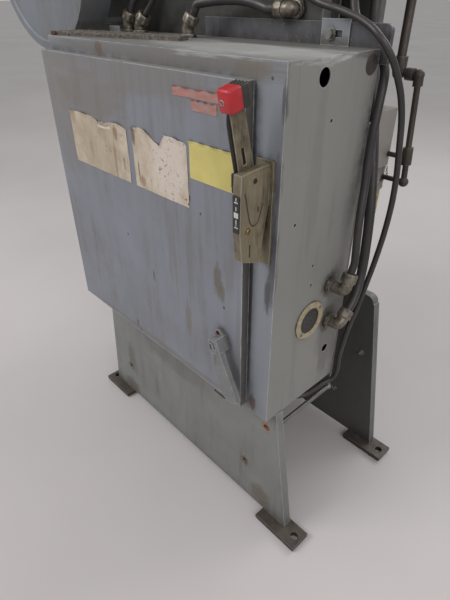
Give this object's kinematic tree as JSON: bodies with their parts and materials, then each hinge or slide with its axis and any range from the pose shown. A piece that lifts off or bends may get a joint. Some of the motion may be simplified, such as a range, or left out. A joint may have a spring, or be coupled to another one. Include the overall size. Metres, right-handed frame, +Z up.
{
  "type": "mechanical stamping press",
  "caption": "Gap-frame crank press on plate legs, with a belt-driven flywheel, a ram over a slotted bolster, and a side-hung electrical cabinet with hoses.",
  "frame": {"origin": "on the floor, at the centre of the rectangle of the four foot bolt holes", "axes": "+X towards the rear of the press, away from its throat; +Y away from the cabinet door; +Z up"},
  "size_m": [1.3509, 0.6494, 1.809],
  "materials": {
    "leg_grey": "worn matt paint",
    "frame_grey": "worn matt paint",
    "pad_steel": "dirty, rust at the edges",
    "machined_steel": "machined",
    "bolt_steel": "dull",
    "bronze": "machined",
    "cast_iron": "painted casting, machined faces",
    "dark_lining": "dusty",
    "guard_grey": "light paint with brown streaks",
    "motor_paint": "satin",
    "belt_rubber": "matt",
    "cabinet_paint": "satin, dusty",
    "door_paint": "satin, dusty",
    "panel_white": "satin",
    "device_plastic": "matt",
    "latch_steel": "worn cast zinc",
    "handle_paint": "worn",
    "grip_red": "scuffed",
    "receptacle_cream": "yellowed",
    "receptacle_black": "matt",
    "plug_grey": "dull",
    "mat_fibre": "dirty, rusty edges",
    "zinc_castings": "dirty cast zinc",
    "box_paint": "dusty",
    "pipe_iron": "black iron",
    "valve_black": "satin",
    "drain_steel": "dull",
    "hose_black": "matt"
  },
  "bodies": {
    "press": {"near_leg": "leg_grey", "far_side_plate": "frame_grey", "near_side_plate": "frame_grey", "cross_beams": "leg_grey", "foot_pads": "pad_steel", "frame_webs": "frame_grey", "bed_plate": "machined_steel", "bolster_plate": "machined_steel", "hex_bolts": "bolt_steel", "ram_gibs": "bronze", "crank_bushes": "bronze", "brake_band": "dark_lining", "flywheel_guard": "guard_grey", "belt_guard": "guard_grey", "crank_cover": "frame_grey", "motor_plate": "frame_grey", "motor_body": "motor_paint", "v_belts": "belt_rubber", "cabinet_body": "cabinet_paint", "hinge_pins": "bolt_steel", "sub_panel": "panel_white", "disconnect_switch": "device_plastic", "panel_devices": "device_plastic", "disconnect_housing": "handle_paint", "receptacle_ring": "receptacle_cream", "receptacle_insert": "receptacle_black", "hole_plug": "plug_grey", "top_mat": "mat_fibre", "cabinet_rail": "cabinet_paint", "elbow_connectors": "zinc_castings", "top_connectors": "zinc_castings", "junction_box": "box_paint", "air_pipe": "pipe_iron", "air_filter": "box_paint", "clutch_valve": "valve_black", "drain_tube": "drain_steel", "hose_a": "hose_black", "hose_b": "hose_black", "hose_c": "hose_black", "hose_d": "hose_black", "hose_e": "hose_black"},
    "crankshaft": {"crankshaft": "machined_steel", "clutch_hub": "cast_iron", "brake_drum": "cast_iron"},
    "pitman": {"pitman": "cast_iron", "pitman_cap": "cast_iron", "ball_screw": "machined_steel", "lock_nut": "bolt_steel"},
    "ram": {"ram": "machined_steel", "ram_cap": "machined_steel"},
    "flywheel": {"flywheel": "cast_iron", "flywheel_bush": "bronze", "clutch_ring": "dark_lining"},
    "motor_rotor": {"motor_shaft": "machined_steel", "motor_pulley": "cast_iron"},
    "door": {"cabinet_door": "door_paint"},
    "latch": {"door_latch": "latch_steel", "latch_tongue": "latch_steel"},
    "disconnect_handle": {"disconnect_lever": "handle_paint", "lever_grip": "grip_red"}
  },
  "joints": [
    {"name": "crank_turn", "type": "hinge", "parent": "press", "child": "crankshaft", "pos_m": [-0.615, 0.1275, 1.407], "axis": [0, 1, 0], "range_deg": [0, 180]},
    {"name": "pitman_swing", "type": "hinge", "parent": "crankshaft", "child": "pitman", "pos_m": [-0.615, 0.1275, 1.423], "axis": [0, 1, 0], "range_deg": [-180, 0]},
    {"name": "ram_slide", "type": "slide", "parent": "press", "child": "ram", "axis": [0, 0, -1], "range_m": [0, 0.032]},
    {"name": "flywheel_spin", "type": "hinge", "parent": "press", "child": "flywheel", "pos_m": [-0.615, -0.121, 1.407], "axis": [0, 1, 0], "continuous": true},
    {"name": "motor_spin", "type": "hinge", "parent": "press", "child": "motor_rotor", "pos_m": [-0.285, -0.121, 1.712], "axis": [0, 1, 0], "continuous": true},
    {"name": "door_open", "type": "hinge", "parent": "press", "child": "door", "pos_m": [-0.45, -0.244, 0.7995], "axis": [0, 0, -1], "range_deg": [0, 110]},
    {"name": "latch_turn", "type": "hinge", "parent": "door", "child": "latch", "pos_m": [0.231, -0.269, 0.61], "axis": [0, -1, 0], "range_deg": [0, 90]},
    {"name": "disconnect_throw", "type": "hinge", "parent": "press", "child": "disconnect_handle", "pos_m": [0.317, -0.272, 0.955], "axis": [1, 0, 0], "range_deg": [0, 130]}
  ],
  "couplings": [
    {"joint": "pitman_swing", "follows": "crank_turn", "ratio": -1},
    {"joint": "ram_slide", "follows": "crank_turn", "m_per_rad": 0.010186},
    {"joint": "motor_spin", "follows": "flywheel_spin", "ratio": 4.1743}
  ]
}
